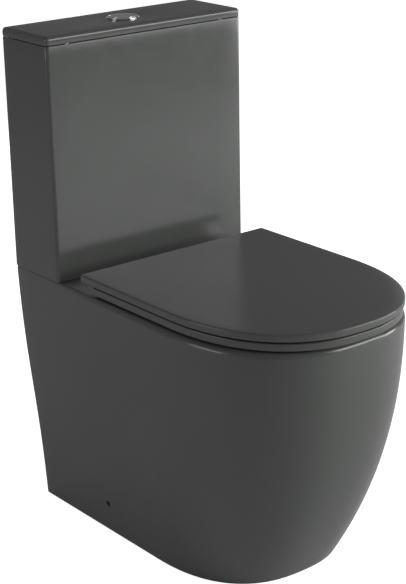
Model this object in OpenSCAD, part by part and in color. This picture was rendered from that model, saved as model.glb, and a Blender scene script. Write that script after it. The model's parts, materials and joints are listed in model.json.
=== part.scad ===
// Close coupled toilet: skirted pan, cistern with dual flush, soft close seat and cover.
// Millimetres. +Z up, front faces -Y, wall at +Y. Origin on the floor under the middle.

/* [Overall] */
// Height of the cistern lid's top above the floor
overall_height = 825; // [800:5:850]
// Distance from the wall to the front of the seat cover
overall_depth = 635; // [620:5:660]

/* [Pan] */
// Height of the pan's rim and deck above the floor
deck_height = 430; // [425:1:435]
// Width of the pan at the rim
pan_rim_width = 382; // [376:2:386]
// Width of the pan's foot where it starts to round to the front
pan_foot_width = 303; // [290:1:320]
// Width of the pan's foot at the wall
pan_foot_wall_width = 308; // [296:1:324]
// How far the foot sits back from the rim at the front
foot_setback = 127; // [100:1:140]
// Wall thickness of the skirt
skirt_wall = 14; // [12:1:16]
// Thickness of the deck and of the bowl wall
deck_thickness = 16; // [14:1:18]
// Radius of the rounded edge round the pan's top at the front
rim_edge_radius = 9; // [6:1:11]
// Squareness of the pan's front in plan, 2 is an ellipse
pan_squareness = 2.5; // [2.3:0.1:3.1]

/* [Bowl] */
// Half width of the bowl opening
bowl_half_width = 135; // [125:1:138]
// Half length of the bowl opening
bowl_half_length = 165; // [150:1:168]
// Height of the bowl's lowest point inside
sump_height = 38; // [34:1:44]

/* [Waste] */
// Outside radius of the waste spigot
spigot_radius = 51; // [50:0.5:51.5]
// Height of the spigot's centre above the floor
spigot_height = 180; // [178:1:182]
// Gap between the spigot's end and the wall
spigot_setback = 56; // [50:1:62]

/* [Cistern] */
// Width of the cistern
cistern_width = 382; // [372:2:390]
// Depth of the cistern from the wall
cistern_depth = 128; // [124:1:134]
// Wall thickness of the cistern
cistern_wall = 10; // [8:1:11]
// Radius of the cistern's vertical edges
cistern_edge_radius = 8; // [5:1:9]
// Visible height of the cistern lid
lid_height = 14; // [12:1:18]
// Radius of the lid's top edges
lid_edge_radius = 6; // [3:1:7]
// Distance between the two cistern bolts
cistern_bolt_spacing = 150; // [136:2:160]

/* [Water fittings] */
// Radius of the inlet shank, a half inch pipe thread
inlet_radius = 10.48; // [10.3:0.02:10.5]
// Distance of the inlet from the middle
inlet_offset = 125; // [118:1:128]
// Radius of the round push button's rim
button_rim_radius = 26.5; // [26:0.5:30]
// How far each button goes down
button_travel = 6; // [4:0.5:6]

/* [Seat] */
// Width of the seat cover
seat_width = 374; // [366:2:376]
// Squareness of the seat's front in plan, 2 is an ellipse
seat_squareness = 2.3; // [2.1:0.1:2.6]
// Thickness of the seat cover at its edge
cover_thickness = 12; // [11.5:0.5:13]
// Thickness of the seat ring
ring_thickness = 11.5; // [11:0.5:12]
// Half width of the seat ring's opening
ring_opening_half_width = 112; // [100:1:118]
// Half length of the seat ring's opening
ring_opening_half_length = 150; // [138:1:155]
// Distance between the two hinge fixings
hinge_spacing = 155; // [150:1:160]

/* [Fixings] */
// Height of the side fixing holes above the floor
side_hole_height = 54.5; // [50:0.5:60]
// Distance from the wall to the side fixing holes
side_hole_from_wall = 197; // [180:1:210]

/* [Hidden] */
$fn = 48;
eps = 1;

wall_y = overall_depth / 2;
front_y = -wall_y;
rim_z = deck_height;

// plan of the pan
pan_front_gap = 8;
pan_arc_share = 0.62;
arc_steps = 28;
side_steps = 4;
back_steps = 6;
wall_inset = 2;
foot_sweep_power = 2.15;
side_bow = 0.055;
side_lift = 0.025;

// seat levels
ring_bottom_z = rim_z + 3;
ring_top_z = ring_bottom_z + ring_thickness;
cover_gap = 3.5;
cover_bottom_z = ring_top_z + cover_gap;
cover_top_z = cover_bottom_z + cover_thickness;
seat_edge_radius = 2.5;
cover_back_y = wall_y - 185;
hinge_axis_y = cover_back_y - 9.5;
hinge_axis_z = rim_z + 12;
ring_back_y = hinge_axis_y - 16;
seat_arc_share = 0.485;
seat_arc_y = cover_back_y + (front_y - cover_back_y) * seat_arc_share;
ring_inset = 3;
ring_centre_y = -104;

// cistern levels
cistern_gap = 0.8;
cistern_z = rim_z + cistern_gap;
cistern_floor = 15.2;
tank_z = cistern_z + cistern_floor;
lid_gap = 1;
lid_z = overall_height - lid_height;
cistern_top_z = lid_z - lid_gap;
cistern_y = wall_y - cistern_depth;
tank_y = wall_y - cistern_depth / 2;

// flush valve
outlet_radius = 30;
outlet_bore = 25;
outlet_drop = 18;
valve_washer_height = 3;
backnut_height = 8;
valve_seat_z = tank_z + 9;
seal_thickness = 4;
cage_radius = 32;
valve_flange_radius = 40;
window_height = 46;
cage_window_width = 24;
neck_window_width = 12;
cage_wall = 2.5;
shoulder_z = tank_z + 78;
neck_radius = 20;
neck_wall = 2.5;
valve_head_z = cistern_top_z - 70;
valve_head_height = 28;
overflow_radius = 12;
overflow_wall = 2;
full_stem_x = -8;
half_stem_x = 11;
stem_radius = 3;
plunger_radius = 5;

// fill valve
riser_radius = 10;
inlet_flange_radius = 17;
inlet_washer_height = 2;
inlet_nut_height = 9;
shank_drop = 42;
water_way_radius = 6;
fill_head_z = tank_z + 284;
float_radius = 30;
float_height = 55;
float_z = fill_head_z - 90;
float_stop_height = 4;
relief_height = 1.5;
relief_depth = 0.6;
lever_pivot_z = fill_head_z + 13;

function superellipse_x(w, t, n) = -w * sign(cos(t)) * pow(abs(cos(t)), 2 / n);

function superellipse_y(yc, yf, t, n) = yc - (yc - yf) * pow(abs(sin(t)), 2 / n);

// D shaped plan: round front, sides that run to a straight back edge
function d_plan(w_mid, w_back, yc, yf, yb, n) = concat(
    [for (k = [0:arc_steps]) let (t = 180 * k / arc_steps)
        [superellipse_x(w_mid, t, n), superellipse_y(yc, yf, t, n)]],
    [for (k = [1:side_steps]) let (u = k / side_steps)
        [w_mid + (w_back - w_mid) * u, yc + (yb - yc) * u]],
    [for (k = [1:back_steps - 1])
        [w_back - 2 * w_back * k / back_steps, yb]],
    [for (k = [0:side_steps - 1]) let (u = 1 - k / side_steps)
        [-(w_mid + (w_back - w_mid) * u), yc + (yb - yc) * u]]);

function at_height(plan, z) = [for (p = plan) [p.x, p.y, z]];

// an oval with one point in the direction of each point of a guide plan
function oval_plan(a, b, yc, guide) =
    [for (p = guide) let (t = atan2((p.y - yc) / b, p.x / a)) [a * cos(t), yc + b * sin(t)]];

function centre_of(ring) =
    [for (i = [0:2]) [for (p = ring) p[i]] * [for (p = ring) 1 / len(ring)]];

// closed solid through a list of equal rings, flat at both ends
module loft(rings) {
    count = len(rings[0]);
    last = len(rings) - 1;
    first_centre = count * len(rings);
    last_centre = first_centre + 1;
    points = concat([for (r = rings) each r], [centre_of(rings[0]), centre_of(rings[last])]);
    sides = [for (i = [0:last - 1], k = [0:count - 1])
        let (a = i * count + k, b = i * count + (k + 1) % count, c = b + count, d = a + count)
        each [[a, c, b], [a, d, c]]];
    first_cap = [for (k = [0:count - 1]) [first_centre, k, (k + 1) % count]];
    last_cap = [for (k = [0:count - 1])
        [last_centre, last * count + (k + 1) % count, last * count + k]];
    polyhedron(points = points, faces = concat(first_cap, sides, last_cap), convexity = 10);
}

// ---- pan -------------------------------------------------------------------

// share of the foot's shape at a height, 1 on the floor and 0 at the rim
function pan_low(z) = pow(max(1 - z / rim_z, 0), foot_sweep_power);

function pan_rise(z) =
    let (v = z / rim_z) v - side_bow * sin(360 * v) + side_lift * sin(180 * v);

function pan_half(z) = (pan_rim_width - (pan_rim_width - pan_foot_width) * pan_low(z)) / 2;

function pan_wall_half(z) =
    pan_foot_wall_width / 2
    + (pan_rim_width / 2 - wall_inset - pan_foot_wall_width / 2) * pan_rise(z);

function pan_front(z) = front_y + pan_front_gap + foot_setback * pan_low(z);

function pan_plan(z, inset) =
    let (yf = pan_front(z), yc = wall_y + (yf - wall_y) * pan_arc_share)
    d_plan(pan_half(z) - inset, pan_wall_half(z) - inset, yc, yf + inset, wall_y - inset,
        pan_squareness);

function pan_ring(z, inset = 0) = at_height(pan_plan(z, inset), z);

wall_edge_share = 0.15;

// share of the rim's rounding, full at the front and nearly none beside the cistern
function edge_share(y, yc) =
    max(wall_edge_share, 1 - (1 - wall_edge_share) * max(y - yc, 0) / (cistern_y - yc));

// ring of the rim's rounded edge at a height
function rim_ring(z, inset) =
    let (outer = pan_plan(z, 0), inner = pan_plan(z, inset),
        yc = wall_y + (pan_front(z) - wall_y) * pan_arc_share)
    at_height([for (i = [0:len(outer) - 1])
        outer[i] + (inner[i] - outer[i]) * edge_share(outer[i].y, yc)], z);

bowl_thickness = 13;
bowl_mouth_drop = 6;
bowl_top_z = rim_z - bowl_mouth_drop;
bowl_sump_half = 38;
bowl_sump_y = 5;
bowl_centre_y = -103;
bowl_lip = 5;
bowl_steps = 10;
sump_inset = 14;
sump_dish = 4;
bowl_fullness = 1.3;
bowl_spacing_power = 1.15;

function bowl_open(v) = pow(sin(90 * v), bowl_fullness);

function bowl_y(v) = bowl_sump_y + (bowl_centre_y - bowl_sump_y) * bowl_open(v);

// bowl ring at a share v of its depth, grown by g and lowered by d
function bowl_ring(v, g, d) =
    at_height(
        oval_plan(
            bowl_sump_half + (bowl_half_width - bowl_sump_half) * bowl_open(v) + g,
            bowl_sump_half + (bowl_half_length - bowl_sump_half) * bowl_open(v) + g,
            bowl_y(v), pan_plan(rim_z, 0)),
        sump_height + (bowl_top_z - sump_height) * v - d);

function sump_ring(g, d) =
    at_height(
        oval_plan(bowl_sump_half - sump_inset + g, bowl_sump_half - sump_inset + g, bowl_sump_y,
            pan_plan(rim_z, 0)),
        sump_height - sump_dish - d);

function bowl_rings(g, d) = concat(
    [sump_ring(g, d)],
    [for (k = [0:bowl_steps]) bowl_ring(pow(k / bowl_steps, bowl_spacing_power), g, d)]);

module bowl_cavity() {
    mouth = oval_plan(bowl_half_width + bowl_lip, bowl_half_length + bowl_lip, bowl_centre_y,
        pan_plan(rim_z, 0));
    loft(concat(bowl_rings(0, 0), [at_height(mouth, rim_z), at_height(mouth, rim_z + 5)]));
}

module pan_body() {
    skirt_steps = 12;
    edge_steps = 3;
    inner_steps = 5;
    under_z = rim_z - deck_thickness;
    r = rim_edge_radius;
    difference() {
        loft(concat(
            [for (k = [0:skirt_steps]) pan_ring((rim_z - r) * k / skirt_steps)],
            [for (k = [1:edge_steps]) let (a = 90 * k / edge_steps)
                rim_ring(rim_z - r + r * sin(a), r - r * cos(a))]));
        loft(concat(
            [at_height(pan_plan(0, skirt_wall), -eps)],
            [for (k = [0:inner_steps]) pan_ring(under_z * k / inner_steps, skirt_wall)]));
    }
}

trap_bore = 36;
trap_outer = 45;
trap_low_z = sump_height + 36;
trap_points = [[0, trap_low_z], [62, trap_low_z], [116, spigot_height + 18],
    [190, spigot_height]];
spigot_wall = 8;
spigot_start_y = 172;
spigot_end_y = wall_y - spigot_setback;

// round passage from point to point in the middle plane
module trap_run(r) {
    for (i = [0:2]) {
        a = trap_points[i];
        b = trap_points[i + 1];
        translate([0, a.x, a.y])
            rotate([atan2(b.y - a.y, b.x - a.x), 0, 0])
                rotate([-90, 0, 0])
                    cylinder(r = r, h = norm(b - a));
    }
    for (i = [1:2])
        translate([0, trap_points[i].x, trap_points[i].y])
            sphere(r = r + 0.5);
}

module waste_spigot() {
    translate([0, spigot_start_y, spigot_height])
        rotate([-90, 0, 0])
            cylinder(r = spigot_radius, h = spigot_end_y - spigot_start_y, $fn = 96);
}

module waste_bore() {
    translate([0, spigot_start_y + 8, spigot_height])
        rotate([-90, 0, 0])
            cylinder(r = spigot_radius - spigot_wall, h = spigot_end_y, $fn = 96);
}

channel_width = 96;
channel_wall = 10;
channel_floor_z = rim_z - 56;
channel_start_y = bowl_centre_y + bowl_half_length + 0.5;
inlet_well_radius = 36;
gasket_well_radius = 50;
gasket_well_depth = 12;
service_half_width = 138;
service_height = 360;
inlet_hole_radius = 22;
hinge_hole_radius = 7;
bolt_hole_radius = 6;
side_hole_radius = 5;
screw_radius = 3;

side_seat_x = 150;

module pan() {
    channel_end_y = tank_y + inlet_well_radius;
    color("#4a4e4b")
    difference() {
        union() {
            pan_body();
            loft(concat(
                bowl_rings(bowl_thickness, bowl_thickness),
                [bowl_ring(1, bowl_thickness, bowl_top_z - rim_z + deck_thickness / 2)]));
            trap_run(trap_outer);
            waste_spigot();
            translate([-channel_width / 2, channel_start_y, channel_floor_z])
                cube([channel_width, channel_end_y + channel_wall - channel_start_y,
                    rim_z - deck_thickness / 2 - channel_floor_z]);
        }
        bowl_cavity();
        trap_run(trap_bore);
        waste_bore();
        // flush water channel from the cistern to the back of the bowl
        translate([-channel_width / 2 + channel_wall, channel_start_y - 30,
            channel_floor_z + channel_wall])
            cube([channel_width - 2 * channel_wall, channel_end_y + 30 - channel_start_y, 30]);
        translate([0, tank_y, channel_floor_z + channel_wall])
            cylinder(r = inlet_well_radius, h = rim_z);
        translate([0, tank_y, rim_z - gasket_well_depth])
            cylinder(r = gasket_well_radius, h = rim_z);
        // openings in the back and the deck
        translate([-service_half_width, wall_y - skirt_wall - 4, -eps])
            cube([2 * service_half_width, skirt_wall + 8, service_height + eps]);
        translate([inlet_offset, tank_y, rim_z - 60])
            cylinder(r = inlet_hole_radius, h = 80);
        for (s = [-1, 1]) {
            translate([s * hinge_spacing / 2, hinge_axis_y, rim_z - 60])
                cylinder(r = hinge_hole_radius, h = 80);
            translate([s * cistern_bolt_spacing / 2, tank_y, rim_z - 60])
                cylinder(r = bolt_hole_radius, h = 80);
            translate([0, wall_y - side_hole_from_wall, side_hole_height])
                rotate([0, s * 90, 0]) {
                    cylinder(r = screw_radius + 0.5, h = pan_rim_width);
                    translate([0, 0, side_seat_x])
                        cylinder(r = side_hole_radius, h = 40);
                }
        }
    }
}

// ---- cistern ---------------------------------------------------------------

module rounded_plan(w, y0, y1, r) {
    translate([-w / 2 + r, y0])
        square([w - 2 * r, y1 - y0]);
    translate([-w / 2, y0 + r])
        square([w, y1 - y0 - 2 * r]);
    for (x = [-w / 2 + r, w / 2 - r], y = [y0 + r, y1 - r])
        translate([x, y])
            circle(r = r);
}

cistern_foot_radius = 1;

// block with rounded vertical edges and rounded edges along one end
module edge_block(z0, z1, r_plan, r_end, round_top) {
    intersection() {
        translate([0, 0, z0])
            linear_extrude(z1 - z0)
                rounded_plan(cistern_width, cistern_y, wall_y, r_plan);
        translate([0, wall_y + eps, 0])
            rotate([90, 0, 0])
                linear_extrude(cistern_depth + 2 * eps)
                    end_profile(-cistern_width / 2, cistern_width / 2, z0, z1, r_end, round_top);
        rotate([90, 0, 90])
            translate([0, 0, -cistern_width])
                linear_extrude(2 * cistern_width)
                    end_profile(cistern_y, wall_y, z0, z1, r_end, round_top);
    }
}

module end_profile(x0, x1, z0, z1, r, round_top) {
    round_z = round_top ? z1 - r : z0 + r;
    translate([x0, round_top ? z0 : z0 + r])
        square([x1 - x0, z1 - z0 - r]);
    translate([x0 + r, z0])
        square([x1 - x0 - 2 * r, z1 - z0]);
    for (x = [x0 + r, x1 - r])
        translate([x, round_z])
            circle(r = r);
}

tank_inner_radius = 6;

module cistern() {
    color("#565a58")
    difference() {
        edge_block(cistern_z, cistern_top_z, cistern_edge_radius, cistern_foot_radius, false);
        translate([0, 0, tank_z])
            linear_extrude(cistern_top_z)
                rounded_plan(cistern_width - 2 * cistern_wall, cistern_y + cistern_wall,
                    wall_y - cistern_wall, tank_inner_radius);
        translate([0, tank_y, cistern_z - eps])
            cylinder(r = outlet_radius + 1, h = cistern_floor + 2 * eps);
        translate([inlet_offset, tank_y, cistern_z - eps])
            cylinder(r = inlet_radius + 1, h = cistern_floor + 2 * eps);
        for (s = [-1, 1])
            translate([s * cistern_bolt_spacing / 2, tank_y, cistern_z - eps])
                cylinder(r = bolt_hole_radius, h = cistern_floor + 2 * eps);
    }
}

button_hole_radius = button_rim_radius - 2;
lid_lip_drop = 8;
lid_lip_gap = 2.5;
lid_lip_width = 6;
lid_pocket = 3;

module cistern_lid() {
    lip_inset = 2 * (cistern_wall + lid_lip_gap);
    y0 = cistern_y + cistern_wall + lid_lip_gap;
    y1 = wall_y - cistern_wall - lid_lip_gap;
    color("#3c3f3d")
    difference() {
        union() {
            edge_block(lid_z, overall_height, cistern_edge_radius, lid_edge_radius, true);
            translate([0, 0, lid_z - lid_lip_drop])
                linear_extrude(lid_lip_drop + eps)
                    rounded_plan(cistern_width - lip_inset, y0, y1, tank_inner_radius);
        }
        translate([0, 0, lid_z - lid_lip_drop - eps])
            linear_extrude(lid_lip_drop + lid_pocket + eps)
                rounded_plan(cistern_width - lip_inset - 2 * lid_lip_width, y0 + lid_lip_width,
                    y1 - lid_lip_width, 3);
        translate([0, tank_y, lid_z - eps])
            cylinder(r = button_hole_radius, h = lid_height + 2 * eps, $fn = 64);
    }
}

pad_radius = 4;

module lid_pads() {
    color("#d9d9d4")
    for (x = [-1, 1], y = [cistern_y + cistern_wall / 2, wall_y - cistern_wall / 2])
        translate([x * (cistern_width / 2 - 40), y, cistern_top_z + 0.05])
            cylinder(r = pad_radius, h = lid_gap - 0.05);
}

// ---- push button -----------------------------------------------------------

bezel_height = 2.2;
bezel_bore = button_hole_radius - 2.2;
bezel_tube_drop = 24;
cap_radius = bezel_bore - 0.6;
cap_top_z = overall_height + 3;
cap_depth = 11;
split_x = 5;
split_gap = 0.5;

module button_bezel() {
    color("#d4d6d8")
    difference() {
        union() {
            translate([0, tank_y, overall_height])
                cylinder(r = button_rim_radius, h = bezel_height, $fn = 96);
            translate([0, tank_y, overall_height - bezel_tube_drop])
                cylinder(r = button_hole_radius - 0.4, h = bezel_tube_drop, $fn = 96);
        }
        translate([0, tank_y, overall_height - bezel_tube_drop - eps])
            cylinder(r = bezel_bore, h = bezel_tube_drop + bezel_height + 2 * eps, $fn = 96);
    }
}

module button_locknut() {
    nut_z = lid_z + lid_pocket;
    color("#e8e8e4")
    difference() {
        translate([0, tank_y, nut_z - 7])
            cylinder(r = button_rim_radius + 5, h = 7, $fn = 8);
        translate([0, tank_y, nut_z - 8])
            cylinder(r = button_hole_radius - 0.4, h = 9, $fn = 96);
    }
}

module button_half(left) {
    intersection() {
        translate([0, tank_y, cap_top_z - cap_depth])
            cylinder(r = cap_radius, h = cap_depth, $fn = 96);
        translate([left ? -cap_radius - eps : split_x + split_gap, tank_y - cap_radius - eps,
            cap_top_z - cap_depth - eps])
            cube([left ? cap_radius + eps + split_x - split_gap : cap_radius, 2 * cap_radius + 2 * eps,
                cap_depth + 2 * eps]);
    }
}

module full_flush_button() {
    color("#cfd1d3")
    difference() {
        button_half(true);
        translate([full_stem_x, tank_y, cap_top_z - cap_depth - eps])
            cylinder(r = stem_radius, h = 6 + eps);
    }
}

module half_flush_button() {
    color("#c7c9cb")
    difference() {
        button_half(false);
        translate([half_stem_x, tank_y, cap_top_z - cap_depth - eps])
            cylinder(r = stem_radius, h = 6 + eps);
    }
}

plunger_top_z = valve_head_z + valve_head_height + 12;
stem_top_z = cap_top_z - cap_depth + 6;
stem_gap = 1;

module full_flush_stem() {
    color("#e9e9e6")
    translate([full_stem_x, tank_y, plunger_top_z + stem_gap])
        cylinder(r = stem_radius, h = stem_top_z - plunger_top_z - stem_gap);
}

module half_flush_stem() {
    color("#e9e9e6")
    translate([half_stem_x, tank_y, plunger_top_z + stem_gap])
        cylinder(r = stem_radius, h = stem_top_z - plunger_top_z - stem_gap);
}

// ---- flush valve -----------------------------------------------------------

module flush_valve_base() {
    color("#f0efe9")
    difference() {
        union() {
            translate([0, tank_y, rim_z - outlet_drop])
                cylinder(r = outlet_radius, h = tank_z + 4 - rim_z + outlet_drop, $fn = 64);
            translate([0, tank_y, tank_z + valve_washer_height])
                cylinder(r = valve_flange_radius, h = 4, $fn = 64);
            translate([0, tank_y, tank_z + valve_washer_height])
                cylinder(r = outlet_bore + 2, h = valve_seat_z - tank_z - valve_washer_height,
                    $fn = 64);
        }
        translate([0, tank_y, rim_z - outlet_drop - eps])
            cylinder(r = outlet_bore, h = 60, $fn = 64);
    }
}

module flush_valve_washer() {
    color("#2b2b2b")
    translate([0, tank_y, tank_z])
        difference() {
            cylinder(r = valve_flange_radius, h = valve_washer_height);
            translate([0, 0, -eps])
                cylinder(r = outlet_radius, h = valve_washer_height + 2 * eps, $fn = 64);
        }
}

module flush_valve_backnut() {
    color("#f0efe9")
    translate([0, tank_y, cistern_z - backnut_height])
        difference() {
            cylinder(r = valve_flange_radius, h = backnut_height, $fn = 12);
            translate([0, 0, -eps])
                cylinder(r = outlet_radius, h = backnut_height + 2 * eps, $fn = 64);
        }
}

module coupling_gasket() {
    color("#1e1e1e")
    translate([0, tank_y, rim_z - gasket_well_depth])
        difference() {
            cylinder(r = gasket_well_radius - 1, h = gasket_well_depth + cistern_gap);
            translate([0, 0, -eps])
                cylinder(r = valve_flange_radius + 1, h = gasket_well_depth + cistern_gap + 2 * eps);
        }
}

module flush_valve_tower() {
    neck_height = valve_head_z - shoulder_z - 4;
    color("#dfe4e6")
    translate([0, tank_y, 0])
    difference() {
        union() {
            translate([0, 0, tank_z + 7])
                cylinder(r = cage_radius, h = shoulder_z - tank_z - 7);
            translate([0, 0, shoulder_z])
                cylinder(r = cage_radius, h = 4);
            translate([0, 0, shoulder_z + 4])
                cylinder(r = neck_radius, h = neck_height);
            translate([0, 0, valve_head_z])
                cylinder(r = cage_radius - 2, h = valve_head_height);
        }
        translate([0, 0, tank_z + 6])
            cylinder(r = cage_radius - cage_wall, h = shoulder_z - tank_z - 6);
        translate([0, 0, shoulder_z - eps])
            cylinder(r = neck_radius - neck_wall, h = neck_height + 4 + eps);
        // water windows round the cage, and overflow windows in the neck
        for (a = [0, 90])
            rotate([0, 0, a + 45]) {
                translate([-cage_window_width / 2, -cage_radius - eps, tank_z + 12])
                    cube([cage_window_width, 2 * cage_radius + 2 * eps, window_height]);
                translate([-neck_window_width / 2, -neck_radius - eps, valve_head_z - 60])
                    cube([neck_window_width, 2 * neck_radius + 2 * eps, window_height]);
            }
        // guides of the two plungers
        for (x = [full_stem_x, half_stem_x])
            translate([x, 0, valve_head_z - eps])
                cylinder(r = plunger_radius + 0.5, h = valve_head_height + 2 * eps);
    }
}

module plunger(x) {
    translate([x, tank_y, valve_head_z + 8])
        cylinder(r = plunger_radius, h = plunger_top_z - valve_head_z - 8);
}

module full_flush_plunger() {
    color("#3f6fb0")
    plunger(full_stem_x);
}

module half_flush_plunger() {
    color("#5fa06a")
    plunger(half_stem_x);
}

overflow_top_z = valve_head_z - 24;

module overflow_tube() {
    color("#e6e6e0")
    translate([0, tank_y, valve_seat_z + 0.05 + seal_thickness])
        difference() {
            cylinder(r = overflow_radius, h = overflow_top_z - valve_seat_z - seal_thickness);
            translate([0, 0, -eps])
                cylinder(r = overflow_radius - overflow_wall, h = cistern_top_z);
        }
}

module valve_seal() {
    color("#26262a")
    translate([0, tank_y, valve_seat_z + 0.05])
        difference() {
            cylinder(r = outlet_bore + 3, h = seal_thickness);
            translate([0, 0, -eps])
                cylinder(r = overflow_radius - overflow_wall, h = seal_thickness + 2 * eps);
        }
}

// ---- fill valve ------------------------------------------------------------

module fill_valve_body() {
    shank_z = rim_z - shank_drop;
    free_end = cistern_z - inlet_nut_height - relief_height - shank_z;
    groove_top_z = shank_z + free_end + relief_height;
    color("#ecebe6")
    translate([inlet_offset, tank_y, 0])
    difference() {
        union() {
            translate([0, 0, shank_z])
                cylinder(r = inlet_radius, h = free_end, $fn = 64);
            translate([0, 0, shank_z])
                cylinder(r = inlet_radius - relief_depth, h = free_end + relief_height + eps);
            translate([0, 0, groove_top_z])
                cylinder(r = inlet_radius, h = tank_z + inlet_washer_height + eps - groove_top_z,
                    $fn = 64);
            translate([0, 0, tank_z + inlet_washer_height])
                cylinder(r = inlet_flange_radius, h = 4);
            translate([0, 0, tank_z + 6])
                cylinder(r = riser_radius, h = fill_head_z - tank_z - 6);
            // collar the empty float rests on
            translate([0, 0, float_z - float_stop_height - 0.1])
                cylinder(r = riser_radius + 4, h = float_stop_height);
        }
        translate([0, 0, shank_z - eps])
            cylinder(r = water_way_radius, h = fill_head_z);
    }
}

module fill_valve_washer() {
    color("#2b2b2b")
    translate([inlet_offset, tank_y, tank_z])
        difference() {
            cylinder(r = inlet_flange_radius, h = inlet_washer_height);
            translate([0, 0, -eps])
                cylinder(r = inlet_radius, h = inlet_washer_height + 2 * eps, $fn = 64);
        }
}

module fill_valve_nut() {
    color("#ecebe6")
    translate([inlet_offset, tank_y, cistern_z - inlet_nut_height])
        difference() {
            cylinder(r = inlet_flange_radius + 1, h = inlet_nut_height, $fn = 6);
            translate([0, 0, -eps])
                cylinder(r = inlet_radius, h = inlet_nut_height + 2 * eps, $fn = 64);
        }
}

pivot_x = inlet_offset - 16;
lever_reach = 40;

module fill_valve_head() {
    color("#cfd8df")
    difference() {
        union() {
            translate([inlet_offset, tank_y, fill_head_z])
                cylinder(r = 16, h = 8);
            translate([inlet_offset, tank_y, fill_head_z])
                cylinder(r = 9, h = 26);
            for (y = [tank_y - 9, tank_y + 6])
                translate([pivot_x - 5, y, fill_head_z + 3])
                    cube([20, 3, 15]);
        }
        translate([pivot_x, tank_y - 20, lever_pivot_z])
            rotate([-90, 0, 0])
                cylinder(r = 1.5, h = 40);
    }
}

module fill_lever_pin() {
    color("#c9ccce")
    translate([pivot_x, tank_y - 9.5, lever_pivot_z])
        rotate([-90, 0, 0])
            cylinder(r = 1.5, h = 19);
}

module fill_lever() {
    color("#b9c4cc")
    difference() {
        union() {
            translate([pivot_x, tank_y - 4.5, lever_pivot_z])
                rotate([-90, 0, 0])
                    cylinder(r = 4, h = 9);
            translate([pivot_x - lever_reach, tank_y - 4.5, lever_pivot_z - 2])
                cube([lever_reach, 9, 4]);
        }
        translate([pivot_x, tank_y - 10, lever_pivot_z])
            rotate([-90, 0, 0])
                cylinder(r = 1.9, h = 20);
    }
}

module float_cup() {
    post_x = pivot_x - lever_reach + 5;
    color("#dcdcd6")
    difference() {
        union() {
            translate([inlet_offset, tank_y, float_z])
                cylinder(r = float_radius, h = float_height);
            translate([post_x - 3, tank_y - 4, float_z + 30])
                cube([inlet_offset - float_radius + 4 - post_x, 8, 6]);
            translate([post_x - 3, tank_y - 4, float_z + 30])
                cube([6, 8, lever_pivot_z - 3 - float_z - 30]);
        }
        translate([inlet_offset, tank_y, float_z - eps])
            cylinder(r = riser_radius + 2, h = float_height + 2 * eps);
        translate([inlet_offset, tank_y, float_z - eps])
            difference() {
                cylinder(r = float_radius - 2.5, h = float_height - 3);
                translate([0, 0, -eps])
                    cylinder(r = riser_radius + 4.5, h = float_height);
            }
    }
}

// ---- cistern fixings -------------------------------------------------------

module at_cistern_bolts() {
    for (s = [-1, 1])
        translate([s * cistern_bolt_spacing / 2, tank_y, 0])
            children();
}

bolt_radius = 4;
under_deck_z = rim_z - deck_thickness;

module disc_washer(z, h, r) {
    translate([0, 0, z])
        difference() {
            cylinder(r = r, h = h);
            translate([0, 0, -eps])
                cylinder(r = bolt_radius, h = h + 2 * eps);
        }
}

module cistern_bolts() {
    color("#b8bcc0")
    at_cistern_bolts() {
        translate([0, 0, under_deck_z - 24])
            cylinder(r = bolt_radius, h = tank_z + 7 - under_deck_z + 24);
        translate([0, 0, tank_z + 6])
            cylinder(r = 8, h = 6, $fn = 6);
    }
}

module cistern_cone_washers() {
    color("#232323")
    at_cistern_bolts()
        disc_washer(tank_z, 6, 11);
}

module platform_washers() {
    color("#232323")
    at_cistern_bolts()
        disc_washer(rim_z, cistern_gap, 14);
}

module cistern_flat_washers() {
    color("#b8bcc0")
    at_cistern_bolts()
        disc_washer(under_deck_z - 2, 2, 12);
}

module cistern_wing_nuts() {
    color("#c9b37a")
    at_cistern_bolts()
        translate([0, 0, under_deck_z - 14])
            difference() {
                union() {
                    cylinder(r = 8, h = 12);
                    translate([-16, -2, 0])
                        cube([32, 4, 9]);
                }
                translate([0, 0, -eps])
                    cylinder(r = bolt_radius, h = 14);
            }
}

// ---- seat ------------------------------------------------------------------

seat_half = seat_width / 2;

function seat_plan(inset, yb) =
    d_plan(seat_half - inset, seat_half - inset, seat_arc_y, front_y + inset, yb - inset,
        seat_squareness);

function seat_ring_at(inset, yb, z) = at_height(seat_plan(inset, yb), z);

// rounded upper edge of a seat part
function upper_edge(inset, yb, z, r, steps) =
    [for (k = [0:steps]) let (a = 90 * k / steps)
        seat_ring_at(inset + r * (1 - cos(a)), yb, z - r + r * sin(a))];

knuckle_radius = 6;
pin_radius = 2.5;
pin_clearance = 0.35;
knuckle_gap = 1.5;
block_width = 14;
lug_width = 12;
pocket_depth = 4;
lug_offset = block_width / 2 + knuckle_gap;

module on_hinge_axis(x, length, r) {
    translate([x, hinge_axis_y, hinge_axis_z])
        rotate([0, 90, 0])
            cylinder(r = r, h = length);
}

// knuckle on the inner or outer side of each hinge block
module hinge_lugs(side, y0, y1, z0, z1) {
    for (s = [-1, 1]) {
        centre = s * (hinge_spacing / 2 + side * (lug_offset + lug_width / 2));
        on_hinge_axis(centre - lug_width / 2, lug_width, knuckle_radius);
        translate([centre - lug_width / 2, y0, z0])
            cube([lug_width, y1 - y0, z1 - z0]);
    }
}

module hinge_bores(side) {
    for (s = [-1, 1]) {
        centre = s * (hinge_spacing / 2 + side * (lug_offset + lug_width / 2));
        on_hinge_axis(centre - lug_width / 2 - eps, lug_width + 2 * eps,
            pin_radius + pin_clearance);
    }
}

ring_opening = [ring_opening_half_width, ring_opening_half_length];

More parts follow.
